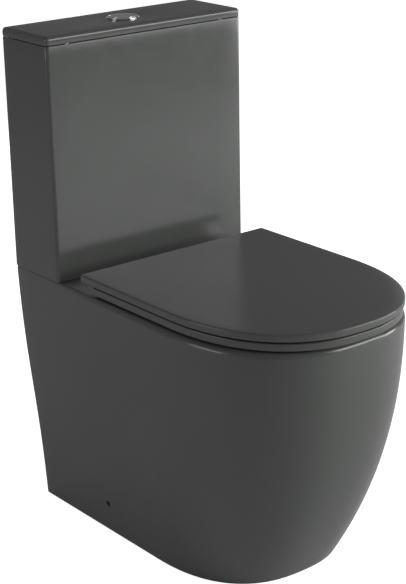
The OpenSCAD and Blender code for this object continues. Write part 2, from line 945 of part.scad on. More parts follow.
module seat_ring() {
    guide = seat_plan(ring_inset, ring_back_y);
    opening = [for (g = [0, 2]) oval_plan(ring_opening.x + g, ring_opening.y + g, ring_centre_y, guide)];
    color("#4c504d")
    difference() {
        union() {
            difference() {
                loft(concat(
                    [seat_ring_at(ring_inset + 1.5, ring_back_y, ring_bottom_z)],
                    [seat_ring_at(ring_inset, ring_back_y, ring_bottom_z + 1.5)],
                    upper_edge(ring_inset, ring_back_y, ring_top_z, seat_edge_radius, 2)));
                translate([0, 0, ring_bottom_z - eps])
                    linear_extrude(ring_thickness + 2 * eps)
                        polygon(opening[0]);
                translate([0, 0, ring_top_z - 2])
                    linear_extrude(2 + eps)
                        polygon(opening[1]);
            }
            hinge_lugs(-1, ring_back_y - 6, hinge_axis_y, hinge_axis_z - 5, hinge_axis_z + 2);
        }
        hinge_bores(-1);
    }
}

module seat_cover() {
    pocket_half = seat_half - 22;
    color("#525653")
    difference() {
        union() {
            difference() {
                loft(concat(
                    [seat_ring_at(1.5, cover_back_y, cover_bottom_z)],
                    [seat_ring_at(0, cover_back_y, cover_bottom_z + 1.5)],
                    upper_edge(0, cover_back_y, cover_top_z, seat_edge_radius, 3)));
                translate([-pocket_half, ring_back_y, cover_bottom_z - eps])
                    cube([2 * pocket_half, cover_back_y - ring_back_y + eps, pocket_depth + eps]);
            }
            hinge_lugs(1, hinge_axis_y - 5.5, hinge_axis_y + 5.5, hinge_axis_z,
                cover_bottom_z + pocket_depth + 1);
        }
        hinge_bores(1);
    }
}

damper_radius = 5.5;
damper_inner_x = 33;
damper_outer_x = 56;
damper_bore_depth = 19;
pin_inner_x = 38;
pin_outer_x = 99;

module damper_barrel(s) {
    difference() {
        union() {
            on_hinge_axis(s > 0 ? damper_inner_x : -damper_outer_x,
                damper_outer_x - damper_inner_x, damper_radius);
            children();
        }
        on_hinge_axis(s > 0 ? damper_outer_x - damper_bore_depth : -damper_outer_x - eps,
            damper_bore_depth + eps, pin_radius + pin_clearance);
    }
}

module ring_damper() {
    color("#6c7073")
    damper_barrel(-1)
        translate([-damper_outer_x, ring_back_y, hinge_axis_z - 5])
            cube([damper_outer_x - damper_inner_x, hinge_axis_y - pin_radius - 2 - ring_back_y, 5]);
}

module cover_damper() {
    color("#6c7073")
    damper_barrel(1)
        translate([damper_inner_x, hinge_axis_y - 3, hinge_axis_z + pin_radius + 1])
            cube([damper_outer_x - damper_inner_x, 6,
                cover_bottom_z + pocket_depth - hinge_axis_z - pin_radius - 1]);
}

buffer_size = [18, 8];
buffer_x = 148;
buffer_y = [-190, 40];

module buffers(z, h) {
    for (x = [-1, 1], y = buffer_y)
        translate([x * buffer_x - buffer_size.x / 2, y, z])
            cube([buffer_size.x, buffer_size.y, h]);
}

module ring_buffers() {
    color("#e9e9e4")
    buffers(rim_z + 0.05, ring_bottom_z - rim_z - 0.05);
}

module cover_buffers() {
    color("#e9e9e4")
    buffers(ring_top_z + 0.05, cover_bottom_z - ring_top_z - 0.05);
}

// ---- hinge parts on the pan ------------------------------------------------

module at_hinges() {
    for (s = [-1, 1])
        translate([s * hinge_spacing / 2, hinge_axis_y, 0])
            children();
}

plate_size = [34, 14];
plate_height = 3;
anchor_depth = 26;

module hinge_plates() {
    color("#c8cacc")
    at_hinges()
        difference() {
            translate([-plate_size.x / 2, -plate_size.y / 2, rim_z])
                cube([plate_size.x, plate_size.y, plate_height]);
            translate([0, 0, rim_z - eps])
                cylinder(r = bolt_radius, h = plate_height + 2 * eps);
        }
}

module hinge_blocks() {
    color("#c8cacc")
    difference() {
        for (s = [-1, 1]) {
            on_hinge_axis(s * hinge_spacing / 2 - block_width / 2, block_width, knuckle_radius);
            translate([s * hinge_spacing / 2 - block_width / 2, hinge_axis_y - 4,
                rim_z + plate_height])
                cube([block_width, 8, hinge_axis_z - rim_z - plate_height]);
        }
        for (s = [-1, 1])
            on_hinge_axis(s * hinge_spacing / 2 - block_width, 2 * block_width, pin_radius);
    }
}

module hinge_pins() {
    color("#aeb2b5")
    for (s = [-1, 1])
        on_hinge_axis(s > 0 ? pin_inner_x : -pin_outer_x, pin_outer_x - pin_inner_x, pin_radius);
}

module hinge_studs() {
    color("#b8bcc0")
    at_hinges()
        translate([0, 0, rim_z - anchor_depth - 14])
            cylinder(r = bolt_radius, h = anchor_depth + 14 + plate_height);
}

module hinge_anchors() {
    color("#2b2b2b")
    at_hinges()
        translate([0, 0, rim_z - anchor_depth])
            difference() {
                cylinder(r = hinge_hole_radius - 0.2, h = anchor_depth);
                translate([0, 0, -eps])
                    cylinder(r = bolt_radius, h = anchor_depth + 2 * eps);
            }
}

module hinge_anchor_nuts() {
    color("#c9b37a")
    at_hinges()
        translate([0, 0, rim_z - anchor_depth - 8])
            difference() {
                cylinder(r = hinge_hole_radius - 0.2, h = 8, $fn = 6);
                translate([0, 0, -eps])
                    cylinder(r = bolt_radius, h = 8 + 2 * eps);
            }
}

// ---- floor fixings ---------------------------------------------------------

bracket_x = 136;
bracket_plate = 4;
bracket_reach = 40;
bracket_width = 36;
bracket_tall = 72;
floor_hole_x = 112;
floor_hole_radius = 4;

module floor_brackets() {
    y = wall_y - side_hole_from_wall;
    color("#9da1a4")
    for (s = [0, 1])
        mirror([s, 0, 0])
            difference() {
                union() {
                    translate([bracket_x - bracket_reach, y - bracket_width / 2, 0])
                        cube([bracket_reach, bracket_width, bracket_plate]);
                    translate([bracket_x - bracket_plate, y - bracket_width / 2, 0])
                        cube([bracket_plate, bracket_width, bracket_tall]);
                }
                translate([floor_hole_x, y, -eps])
                    cylinder(r = floor_hole_radius, h = bracket_plate + 2 * eps);
                translate([bracket_x - 10, y, side_hole_height])
                    rotate([0, 90, 0])
                        cylinder(r = screw_radius, h = 20);
            }
}

module side_screws() {
    y = wall_y - side_hole_from_wall;
    color("#8f9396")
    for (s = [0, 1])
        mirror([s, 0, 0])
            translate([0, y, side_hole_height])
                rotate([0, 90, 0]) {
                    translate([0, 0, bracket_x - 12])
                        cylinder(r = screw_radius, h = side_seat_x - bracket_x + 13);
                    translate([0, 0, side_seat_x])
                        cylinder(r = side_hole_radius - 0.6, h = 3.5);
                }
}

// ---- assembly --------------------------------------------------------------

pan();
coupling_gasket();
platform_washers();
cistern();
cistern_bolts();
cistern_cone_washers();
cistern_flat_washers();
cistern_wing_nuts();
flush_valve_base();
flush_valve_washer();
flush_valve_backnut();
flush_valve_tower();
overflow_tube();
valve_seal();
full_flush_plunger();
half_flush_plunger();
fill_valve_body();
fill_valve_washer();
fill_valve_nut();
fill_valve_head();
fill_lever_pin();
fill_lever();
float_cup();
cistern_lid();
lid_pads();
button_bezel();
button_locknut();
full_flush_button();
full_flush_stem();
half_flush_button();
half_flush_stem();
hinge_plates();
hinge_blocks();
hinge_pins();
hinge_studs();
hinge_anchors();
hinge_anchor_nuts();
seat_ring();
ring_buffers();
ring_damper();
seat_cover();
cover_buffers();
cover_damper();
floor_brackets();
side_screws();
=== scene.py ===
"""Close coupled toilet in satin anthracite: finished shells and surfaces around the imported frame.

Metres. +Z up, the front faces -Y and the wall is at +Y. The origin is on the floor under the middle.
"""
import json
import math

import bpy
from mathutils import Matrix, Vector


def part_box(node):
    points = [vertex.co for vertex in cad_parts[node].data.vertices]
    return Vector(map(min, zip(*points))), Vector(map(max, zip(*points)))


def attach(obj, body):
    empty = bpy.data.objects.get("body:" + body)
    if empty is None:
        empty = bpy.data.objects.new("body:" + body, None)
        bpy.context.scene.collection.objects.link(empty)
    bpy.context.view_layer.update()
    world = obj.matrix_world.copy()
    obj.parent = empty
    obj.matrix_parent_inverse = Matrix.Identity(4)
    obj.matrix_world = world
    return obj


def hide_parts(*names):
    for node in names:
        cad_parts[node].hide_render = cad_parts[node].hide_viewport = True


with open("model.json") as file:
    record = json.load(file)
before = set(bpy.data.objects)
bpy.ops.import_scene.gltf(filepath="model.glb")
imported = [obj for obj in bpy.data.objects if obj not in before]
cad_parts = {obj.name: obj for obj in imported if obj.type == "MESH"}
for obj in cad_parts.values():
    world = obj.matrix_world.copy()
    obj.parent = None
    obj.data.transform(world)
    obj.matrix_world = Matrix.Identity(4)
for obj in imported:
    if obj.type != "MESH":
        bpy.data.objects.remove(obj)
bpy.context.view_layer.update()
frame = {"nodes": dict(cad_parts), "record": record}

MM = 0.001

# ---- sizes -----------------------------------------------------------------

pan_low_corner, pan_high_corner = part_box("pan")
RIM_Z = pan_high_corner.z
WALL_Y = pan_high_corner.y
RIM_HALF = pan_high_corner.x
PAN_FRONT_Y = pan_low_corner.y

# shell of the pan
FOOT_HALF = 151.5 * MM
FOOT_WALL_HALF = 154 * MM
FOOT_SETBACK = 127 * MM
FOOT_SWEEP = 2.15
SIDE_BOW = 0.055
SIDE_LIFT = 0.025
WALL_INSET = 2 * MM
ARC_SHARE = 0.62
PAN_SQUARENESS = 2.5
SKIRT_WALL = 14 * MM
DECK = 16 * MM
RIM_EDGE = 9 * MM
WALL_EDGE_SHARE = 0.15
FOOT_EDGE = 1.5 * MM
WALL_CORNER = 2.5 * MM

# bowl
BOWL_HALF = (135 * MM, 165 * MM)
BOWL_Y = -103 * MM
BOWL_LIP = 5 * MM
BOWL_LIP_DROP = 6 * MM
BOWL_WALL = 13 * MM
SUMP_HALF = 38 * MM
SUMP_Y = 5 * MM
SUMP_Z = 38 * MM
SUMP_INSET = 14 * MM
SUMP_DISH = 4 * MM
BOWL_FULLNESS = 1.3

# water ways
TRAP_BORE = 36 * MM
TRAP_OUTER = 45 * MM
TRAP_Z = SUMP_Z + 36 * MM
TRAP_BORE_START_Y = 20 * MM
TRAP_OUTER_START_Y = 51 * MM
TRAP_TURN_Y = 62 * MM
TRAP_TOP = (116 * MM, 198 * MM)
TRAP_END_Y = 190 * MM
TRAP_BEND = 10 * MM
SPIGOT_RADIUS = 51 * MM
SPIGOT_BORE = 43 * MM
SPIGOT_Z = 180 * MM
SPIGOT_START_Y = 172 * MM
SPIGOT_END_Y = WALL_Y - 56 * MM
SPIGOT_EDGE = 2 * MM
SPIGOT_OVERLAP = 8 * MM
CHANNEL_HALF = 48 * MM
CHANNEL_WALL = 10 * MM
CHANNEL_Z = RIM_Z - 56 * MM
CHANNEL_START_Y = BOWL_Y + BOWL_HALF[1] + 0.5 * MM
CHANNEL_MOUTH = 30 * MM
INLET_WELL = 36 * MM
GASKET_WELL = 50 * MM
GASKET_DEPTH = 12 * MM
SUPPLY_HOLE = 22 * MM
SUPPLY_X = 125 * MM
BOLT_HOLE = 6 * MM
BOLT_X = 75 * MM
HINGE_STUD_HOLE = 7 * MM
SERVICE_HALF = 138 * MM
SERVICE_TOP = 360 * MM
SERVICE_CORNER = 24 * MM
SIDE_HOLE_Y = WALL_Y - 197 * MM
SIDE_HOLE_Z = 54.5 * MM
SIDE_SEAT_X = 150 * MM
SIDE_SCREW_HOLE = 3.5 * MM
SIDE_CAP_HOLE = 5 * MM
SIDE_HOLE_START_X = 130 * MM

# how far cutters reach past what they cut
PAST = 5 * MM
DECK_CUT = 40 * MM
HOLE_FLARE = 0.8 * MM

# cistern and lid
cistern_low, cistern_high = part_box("cistern")
lid_low, lid_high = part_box("cistern_lid")
TANK_Y = (cistern_low.y + cistern_high.y) / 2
CISTERN_WALL = 10 * MM
CISTERN_FLOOR = 15.2 * MM
CISTERN_CORNER = 5.5 * MM
CISTERN_FOOT = 1 * MM
TANK_CORNER = 6 * MM
LID_HEIGHT = 14 * MM
LID_EDGE = 6 * MM
LID_LIP_GAP = 2.5 * MM
LID_LIP_WIDTH = 6 * MM
LID_POCKET = 3 * MM
BUTTON_HOLE = 24.5 * MM
BUTTON_SLEEVE = (22.3 * MM, 24.1 * MM)
CAP_RADIUS = 21.7 * MM
STEM_HOLE = 3 * MM
STEM_HOLE_DEPTH = 6 * MM
FULL_CHORD_X = 4.5 * MM
FULL_STEM_X = -8 * MM
HALF_CHORD_X = 5.5 * MM
HALF_STEM_X = 11 * MM
CISTERN_LIP = 0.8 * MM
TANK_FILLET = 5 * MM
OUTLET_HOLE = 31 * MM
INLET_HOLE = 11.48 * MM
FLOOR_CUT = 30 * MM
LID_RIB_CORNERS = (18 * MM, 24 * MM)
LID_FOOT_EDGE = 1.2 * MM

# seat
ring_low, ring_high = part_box("seat_ring")
cover_low, cover_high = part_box("seat_cover")
SEAT_HALF = cover_high.x
SEAT_FRONT_Y = cover_low.y
COVER_BACK_Y = cover_high.y
HINGE_Y = COVER_BACK_Y - 9.5 * MM
HINGE_Z = RIM_Z + 12 * MM
SEAT_ARC_SHARE = 0.485
SEAT_SQUARENESS = 2.3
RING_BACK_Y = HINGE_Y - 16 * MM
RING_BOTTOM_Z = RIM_Z + 3 * MM
RING_TOP_Z = RING_BOTTOM_Z + 11.5 * MM
COVER_BOTTOM_Z = RING_TOP_Z + 3.5 * MM
COVER_TOP_Z = cover_high.z
RING_INSET = 3 * MM
RING_HOLE = (112 * MM, 150 * MM)
RING_HOLE_Y = -104 * MM
COVER_EDGE = 2.5 * MM
RING_EDGE = 1.6 * MM
SEAT_FOOT_EDGE = 0.8 * MM
SEAT_CORNER = 3 * MM
HINGE_SPACING = 155 * MM
LUG_CENTRE = 14.5 * MM
LUG_WIDTH = 12 * MM
KNUCKLE = 6 * MM
PIN_HOLE = 2.85 * MM

# how finely curved outlines are drawn
ARC_POINTS = 112
SIDE_POINTS = 12
CORNER_POINTS = 6
BACK_POINTS = 28


# ---- outlines --------------------------------------------------------------

def d_plan(half, back_half, centre_y, front_y, back_y, squareness, corner):
    """D shaped outline: a superellipse front, sides that run to the back, small back corners."""
    points = []
    for k in range(ARC_POINTS + 1):
        turn = math.pi * k / ARC_POINTS
        c, s = math.cos(turn), math.sin(turn)
        reach = (abs(c) ** squareness + abs(s) ** squareness) ** (-1 / squareness)
        points.append((-half * reach * c, centre_y - (centre_y - front_y) * reach * s))
    side = []
    for k in range(1, SIDE_POINTS + 1):
        share = k / SIDE_POINTS
        side.append((half + (back_half - half) * share,
                     centre_y + (back_y - corner - centre_y) * share))
    for k in range(1, CORNER_POINTS + 1):
        turn = math.pi / 2 * k / CORNER_POINTS
        side.append((back_half - corner + corner * math.cos(turn),
                     back_y - corner + corner * math.sin(turn)))
    reach = back_half - corner
    back = [(reach - 2 * reach * k / BACK_POINTS, back_y) for k in range(1, BACK_POINTS)]
    mirrored = [(-x, y) for x, y in reversed(side)]
    return points + side + back + mirrored


def oval(half_x, half_y, centre_y, guide):
    """An oval with one point in the direction of each point of a guide outline."""
    points = []
    for x, y in guide:
        turn = math.atan2((y - centre_y) / half_y, x / half_x)
        points.append((half_x * math.cos(turn), centre_y + half_y * math.sin(turn)))
    return points


def rounded_plan(half, low_y, high_y, corner, side_points=10, corner_points=8):
    """Rectangle with round corners, anticlockwise from the middle of the front right corner."""
    points = []
    corners = [(half - corner, low_y + corner, -90), (half - corner, high_y - corner, 0),
               (-half + corner, high_y - corner, 90), (-half + corner, low_y + corner, 180)]
    for index, (x, y, start) in enumerate(corners):
        for k in range(corner_points + 1):
            turn = math.radians(start + 90 * k / corner_points)
            points.append((x + corner * math.cos(turn), y + corner * math.sin(turn)))
        next_x, next_y, next_start = corners[(index + 1) % 4]
        turn = math.radians(next_start)
        end = (next_x + corner * math.cos(turn), next_y + corner * math.sin(turn))
        begin = points[-1]
        for k in range(1, side_points):
            points.append(mix(begin, end, k / side_points))
    return points


def mix(a, b, share):
    """The point part way from one point to another."""
    return tuple(p + (q - p) * share for p, q in zip(a, b))


def between(first, last, steps):
    """The outlines part way from one outline to another, without the first."""
    return [[mix(p, q, k / steps) for p, q in zip(first, last)] for k in range(1, steps + 1)]


def at_height(outline, z):
    """An outline as a ring of points at one height."""
    return [(p[0], p[1], z) for p in outline]


def quarter(steps):
    """Pairs that go round a quarter circle, as (1 - cosine, sine)."""
    turns = [math.pi / 2 * k / steps for k in range(steps + 1)]
    return [(1 - math.cos(t), math.sin(t)) for t in turns]


# ---- meshes ----------------------------------------------------------------

def centre_of(ring):
    """Middle of the points of a ring."""
    return tuple(sum(axis) / len(ring) for axis in zip(*ring))


def skin(name, rings, looped=False):
    """Mesh object through equal rings, capped at both ends, or joined end to start if looped."""
    count = len(rings[0])
    points = [p for ring in rings for p in ring]
    faces = []
    for i in range(len(rings) if looped else len(rings) - 1):
        j = (i + 1) % len(rings)
        for k in range(count):
            m = (k + 1) % count
            faces.append((i * count + k, i * count + m, j * count + m, j * count + k))
    if not looped:
        last = (len(rings) - 1) * count
        points += [centre_of(rings[0]), centre_of(rings[-1])]
        for k in range(count):
            m = (k + 1) % count
            faces.append((len(points) - 2, m, k))
            faces.append((len(points) - 1, last + k, last + m))
    mesh = bpy.data.meshes.new(name)
    mesh.from_pydata(points, [], faces)
    mesh.update()
    piece = bpy.data.objects.new(name, mesh)
    bpy.context.scene.collection.objects.link(piece)
    face_outwards(mesh)
    return piece


def face_outwards(mesh):
    """Turns a closed mesh's faces outwards."""
    volume = 0
    mesh.calc_loop_triangles()
    for triangle in mesh.loop_triangles:
        a, b, c = (mesh.vertices[i].co for i in triangle.vertices)
        volume += a.dot(b.cross(c))
    if volume < 0:
        mesh.flip_normals()


def lathe(name, profile, centre, axis="Z", segments=96, looped=False):
    """Mesh object from a profile of (radius, distance along the axis) turned round the axis."""
    turned = {"X": Matrix.Rotation(math.pi / 2, 3, "Y"), "Y": Matrix.Rotation(-math.pi / 2, 3, "X"),
              "Z": Matrix.Identity(3)}[axis]
    rings = []
    for radius, along in profile:
        ring = []
        for k in range(segments):
            turn = 2 * math.pi * k / segments
            point = turned @ Vector((radius * math.cos(turn), radius * math.sin(turn), along))
            ring.append(tuple(point + Vector(centre)))
        rings.append(ring)
    return skin(name, rings, looped)


def tube(name, path, radius, segments=48):
    """Round tube along a path in the middle plane, as (y, z) points."""
    rings = []
    for i, (y, z) in enumerate(path):
        before, after = path[max(i - 1, 0)], path[min(i + 1, len(path) - 1)]
        along = Vector((0, after[0] - before[0], after[1] - before[1])).normalized()
        across = Vector((1, 0, 0)).cross(along)
        ring = []
        for k in range(segments):
            turn = 2 * math.pi * k / segments
            ring.append(tuple(Vector((0, y, z)) + radius * math.cos(turn) * Vector((1, 0, 0))
                              + radius * math.sin(turn) * across))
        rings.append(ring)
    return skin(name, rings)


def rounded_path(points, reach, steps=8):
    """The path through the points with each corner rounded from reach before it to reach after."""
    path = [points[0]]
    for before, corner, after in zip(points, points[1:], points[2:]):
        start = mix(corner, before, reach / math.dist(corner, before))
        end = mix(corner, after, reach / math.dist(corner, after))
        for k in range(steps + 1):
            share = k / steps
            path.append(mix(mix(start, corner, share), mix(corner, end, share), share))
    return path + [points[-1]]


def combine(piece, other, operation):
    """Adds, cuts or keeps the overlap of another piece, which is used up."""
    modifier = piece.modifiers.new("combine", "BOOLEAN")
    modifier.operation = operation
    modifier.solver = "MANIFOLD"
    modifier.object = other
    depsgraph = bpy.context.evaluated_depsgraph_get()
    mesh = bpy.data.meshes.new_from_object(piece.evaluated_get(depsgraph))
    old = piece.data
    piece.modifiers.clear()
    piece.data = mesh
    bpy.data.meshes.remove(old)
    mesh_used = other.data
    bpy.data.objects.remove(other)
    bpy.data.meshes.remove(mesh_used)


def finish_mesh(piece, name, sharp_degrees=38):
    """Smooth shaded mesh with creases only where the surface really turns."""
    piece.name = name
    piece.data.name = name
    piece.data.polygons.foreach_set("use_smooth", [True] * len(piece.data.polygons))
    piece.data.set_sharp_from_angle(angle=math.radians(sharp_degrees))


# ---- pan -------------------------------------------------------------------

def pan_plan(z, inset):
    """Outline of the pan's outer face at a height, moved in by an inset."""
    low = max(1 - z / RIM_Z, 0) ** FOOT_SWEEP
    height = z / RIM_Z
    rise = (height - SIDE_BOW * math.sin(2 * math.pi * height)
            + SIDE_LIFT * math.sin(math.pi * height))
    half = RIM_HALF - (RIM_HALF - FOOT_HALF) * low
    wall_half = FOOT_WALL_HALF + (RIM_HALF - WALL_INSET - FOOT_WALL_HALF) * rise
    front_y = PAN_FRONT_Y + FOOT_SETBACK * low
    centre_y = WALL_Y + (front_y - WALL_Y) * ARC_SHARE
    return d_plan(half - inset, wall_half - inset, centre_y, front_y + inset, WALL_Y - inset,
                  PAN_SQUARENESS, WALL_CORNER)


def rim_plan(z, inset):
    """Plan in the rim's rounded edge: full rounding at the front, little beside the cistern."""
    outer, inner = pan_plan(z, 0), pan_plan(z, inset)
    start_y = WALL_Y + (PAN_FRONT_Y - WALL_Y) * ARC_SHARE
    outline = []
    for p, q in zip(outer, inner):
        back = min(max((p[1] - start_y) / (cistern_low.y - start_y), 0), 1)
        outline.append(mix(p, q, 1 - (1 - WALL_EDGE_SHARE) * back))
    return outline


def bowl_ring(depth_share, grow, drop, guide):
    """Ring of the bowl, 0 at the sump and 1 at the top, grown and lowered for the outer face."""
    opening = math.sin(math.pi / 2 * depth_share) ** BOWL_FULLNESS
    half_x = SUMP_HALF + (BOWL_HALF[0] - SUMP_HALF) * opening + grow
    half_y = SUMP_HALF + (BOWL_HALF[1] - SUMP_HALF) * opening + grow
    centre_y = SUMP_Y + (BOWL_Y - SUMP_Y) * opening
    z = SUMP_Z + (RIM_Z - BOWL_LIP_DROP - SUMP_Z) * depth_share - drop
    return at_height(oval(half_x, half_y, centre_y, guide), z)


def pan_shell():
    """Skirt, deck and bowl as one skin, from under the bowl round the foot to the sump."""
    guide = pan_plan(RIM_Z, 0)
    under_z = RIM_Z - DECK
    bowl_steps = 44
    shares = [(k / bowl_steps) ** 1.15 for k in range(bowl_steps + 1)]
    sump_half = SUMP_HALF - SUMP_INSET
    rings = [at_height(oval(sump_half + BOWL_WALL, sump_half + BOWL_WALL, SUMP_Y, guide),
                       SUMP_Z - SUMP_DISH - BOWL_WALL)]
    rings += [bowl_ring(share, BOWL_WALL, BOWL_WALL, guide) for share in shares]
    collar = [(x, y) for x, y, z in rings[-1]]
    rings.append(at_height(collar, under_z))
    for outline in between(collar, pan_plan(under_z, SKIRT_WALL), 5):
        rings.append(at_height(outline, under_z))
    inner_steps = 24
    for k in range(1, inner_steps + 1):
        z = under_z * (1 - k / inner_steps)
        rings.append(at_height(pan_plan(z, SKIRT_WALL), z))
    for across, up in quarter(3):
        z = FOOT_EDGE * (1 - math.cos(math.asin(min(up, 1))))
        rings.append(at_height(pan_plan(z, FOOT_EDGE * (1 - up)), z))
    skirt_steps = 56
    top_z = RIM_Z - RIM_EDGE
    for k in range(1, skirt_steps + 1):
        z = FOOT_EDGE + (top_z - FOOT_EDGE) * k / skirt_steps
        rings.append(at_height(pan_plan(z, 0), z))
    for across, up in quarter(8)[1:]:
        z = top_z + RIM_EDGE * up
        rings.append(at_height(rim_plan(z, RIM_EDGE * across), z))
    mouth = oval(BOWL_HALF[0] + BOWL_LIP, BOWL_HALF[1] + BOWL_LIP, BOWL_Y, guide)
    for outline in between(rim_plan(RIM_Z, RIM_EDGE), mouth, 10):
        rings.append(at_height(outline, RIM_Z))
    for across, up in reversed(quarter(6)[1:-1]):
        lip = BOWL_LIP * across
        rings.append(at_height(oval(BOWL_HALF[0] + lip, BOWL_HALF[1] + lip, BOWL_Y, guide),
                               RIM_Z - BOWL_LIP_DROP * (1 - up)))
    rings += [bowl_ring(share, 0, 0, guide) for share in reversed(shares)]
    for across, up in quarter(5)[1:]:
        half = SUMP_HALF - SUMP_INSET * up
        rings.append(at_height(oval(half, half, SUMP_Y, guide), SUMP_Z - SUMP_DISH * across))
    return skin("pan_shell", rings)


def block(name, low, high):
    """Plain cutter block."""
    xs, ys = (low[0], high[0]), (low[1], high[1])
    outline = [(xs[0], ys[0]), (xs[1], ys[0]), (xs[1], ys[1]), (xs[0], ys[1])]
    return skin(name, [at_height(outline, low[2]), at_height(outline, high[2])])


def flared_hole(name, radius, centre, depth):
    """Cutter for a hole down from a face at the centre, with a soft edge."""
    profile = [(radius, -depth), (radius, -HOLE_FLARE)]
    profile += [(radius + HOLE_FLARE * across, -HOLE_FLARE + HOLE_FLARE * up)
                for across, up in quarter(4)[1:]]
    profile.append((radius + HOLE_FLARE, PAST))
    return lathe(name, profile, centre, segments=64)


def service_cutter():
    """Cutter for the opening in the back wall, flared at both faces so that its edges are round."""
    flare = 2.5 * MM
    rings = []
    stations = [(flare, WALL_Y + PAST)]
    for across, up in quarter(4):
        stations.append((flare * (1 - up), WALL_Y - flare * across))
    for across, up in reversed(quarter(4)):
        stations.append((flare * (1 - up), WALL_Y - SKIRT_WALL + flare * across))
    stations.append((flare, WALL_Y - SKIRT_WALL - PAST))
    for grow, y in stations:
        half = SERVICE_HALF + grow
        top = SERVICE_TOP + grow
        ring = [(-half, y, -4 * PAST), (half, y, -4 * PAST)]
        for side, corner in ((1, quarter(8)), (-1, reversed(quarter(8)))):
            for across, up in corner:
                ring.append((side * (half - SERVICE_CORNER * across), y,
                             top - SERVICE_CORNER + SERVICE_CORNER * up))
        rings.append(ring)
    return skin("service_cutter", rings)


def make_pan():
    """Pan with its trap, waste spigot, flushing channel and holes."""
    pan = pan_shell()
    trap_path = [(TRAP_TURN_Y, TRAP_Z), TRAP_TOP, (TRAP_END_Y, SPIGOT_Z)]
    outer_path = rounded_path([(TRAP_OUTER_START_Y, TRAP_Z)] + trap_path, TRAP_BEND)
    combine(pan, tube("trap", outer_path, TRAP_OUTER), "UNION")
    profile = [(SPIGOT_RADIUS, 0)]
    length = SPIGOT_END_Y - SPIGOT_START_Y
    profile += [(SPIGOT_RADIUS - SPIGOT_EDGE * across, length - SPIGOT_EDGE + SPIGOT_EDGE * up)
                for across, up in quarter(5)]
    combine(pan, lathe("spigot", profile, (0, SPIGOT_START_Y, SPIGOT_Z), "Y"), "UNION")
    channel_end_y = TANK_Y + INLET_WELL
    combine(pan, block("channel", (-CHANNEL_HALF, CHANNEL_START_Y, CHANNEL_Z),
                       (CHANNEL_HALF, channel_end_y + CHANNEL_WALL, RIM_Z - DECK / 2)), "UNION")
    inner_path = rounded_path([(TRAP_BORE_START_Y, TRAP_Z)] + trap_path, TRAP_BEND)
    combine(pan, tube("trap_bore", inner_path, TRAP_BORE), "DIFFERENCE")
    bore_start = SPIGOT_START_Y + SPIGOT_OVERLAP
    bore_length = SPIGOT_END_Y - bore_start
    profile = [(SPIGOT_BORE, 0)]
    profile += [(SPIGOT_BORE + SPIGOT_EDGE * across, bore_length - SPIGOT_EDGE + SPIGOT_EDGE * up)
                for across, up in quarter(5)]
    profile.append((SPIGOT_BORE + SPIGOT_EDGE, bore_length + PAST))
    combine(pan, lathe("bore", profile, (0, bore_start, SPIGOT_Z), "Y"), "DIFFERENCE")
    inside = CHANNEL_HALF - CHANNEL_WALL
    channel_floor_z = CHANNEL_Z + CHANNEL_WALL
    combine(pan, block("channel_way", (-inside, CHANNEL_START_Y - CHANNEL_MOUTH, channel_floor_z),
                       (inside, channel_end_y, channel_floor_z + CHANNEL_MOUTH)), "DIFFERENCE")
    deck_holes = [(INLET_WELL, 0, TANK_Y, RIM_Z - CHANNEL_Z - CHANNEL_WALL),
                  (GASKET_WELL, 0, TANK_Y, GASKET_DEPTH), (SUPPLY_HOLE, SUPPLY_X, TANK_Y, DECK_CUT)]
    for side in (-1, 1):
        deck_holes.append((HINGE_STUD_HOLE, side * HINGE_SPACING / 2, HINGE_Y, DECK_CUT))
        deck_holes.append((BOLT_HOLE, side * BOLT_X, TANK_Y, DECK_CUT))
    for radius, x, y, depth in deck_holes:
        combine(pan, flared_hole("deck_hole", radius, (x, y, RIM_Z), depth), "DIFFERENCE")
    combine(pan, service_cutter(), "DIFFERENCE")
    for side in (-1, 1):
        combine(pan, side_hole_cutter(side), "DIFFERENCE")
    finish_mesh(pan, "pan_ceramic")
    return pan


def side_hole_cutter(side):
    """Screw hole from inside the skirt, widened at its outer end and softly flared."""
    outer_x = side_wall_x()
    profile = [(SIDE_SCREW_HOLE, SIDE_HOLE_START_X), (SIDE_SCREW_HOLE, SIDE_SEAT_X),
               (SIDE_CAP_HOLE, SIDE_SEAT_X)]
    profile += [(SIDE_CAP_HOLE + HOLE_FLARE * across, outer_x - HOLE_FLARE + HOLE_FLARE * up)
                for across, up in quarter(4)]
    profile.append((SIDE_CAP_HOLE + HOLE_FLARE, outer_x + 2 * PAST))
    cutter = lathe("side_hole", profile, (0, 0, 0), "X", 48)
    for vertex in cutter.data.vertices:
        x, y, z = vertex.co
        vertex.co = (side * x, SIDE_HOLE_Y + y, SIDE_HOLE_Z + z)
    face_outwards(cutter.data)
    return cutter


def side_wall_x():
    """Half width of the skirt where the side holes are."""
    outline = pan_plan(SIDE_HOLE_Z, 0)
    return min((abs(y - SIDE_HOLE_Y), x) for x, y in outline if x > 0)[1]


# ---- cistern and lid -------------------------------------------------------

def cistern_plan(inset, corner=CISTERN_CORNER):
    """Outline of the cistern's outer face, moved in by an inset."""
    return rounded_plan(cistern_high.x - inset, cistern_low.y + inset, cistern_high.y - inset,
                        max(corner - inset, 0.8 * MM))


def tank_plan(inset):
    """Outline of the cistern's inner face, moved in by an inset."""
    inner = CISTERN_WALL + inset
    return rounded_plan(cistern_high.x - inner, cistern_low.y + inner, cistern_high.y - inner,
                        TANK_CORNER - min(inset, TANK_FILLET))


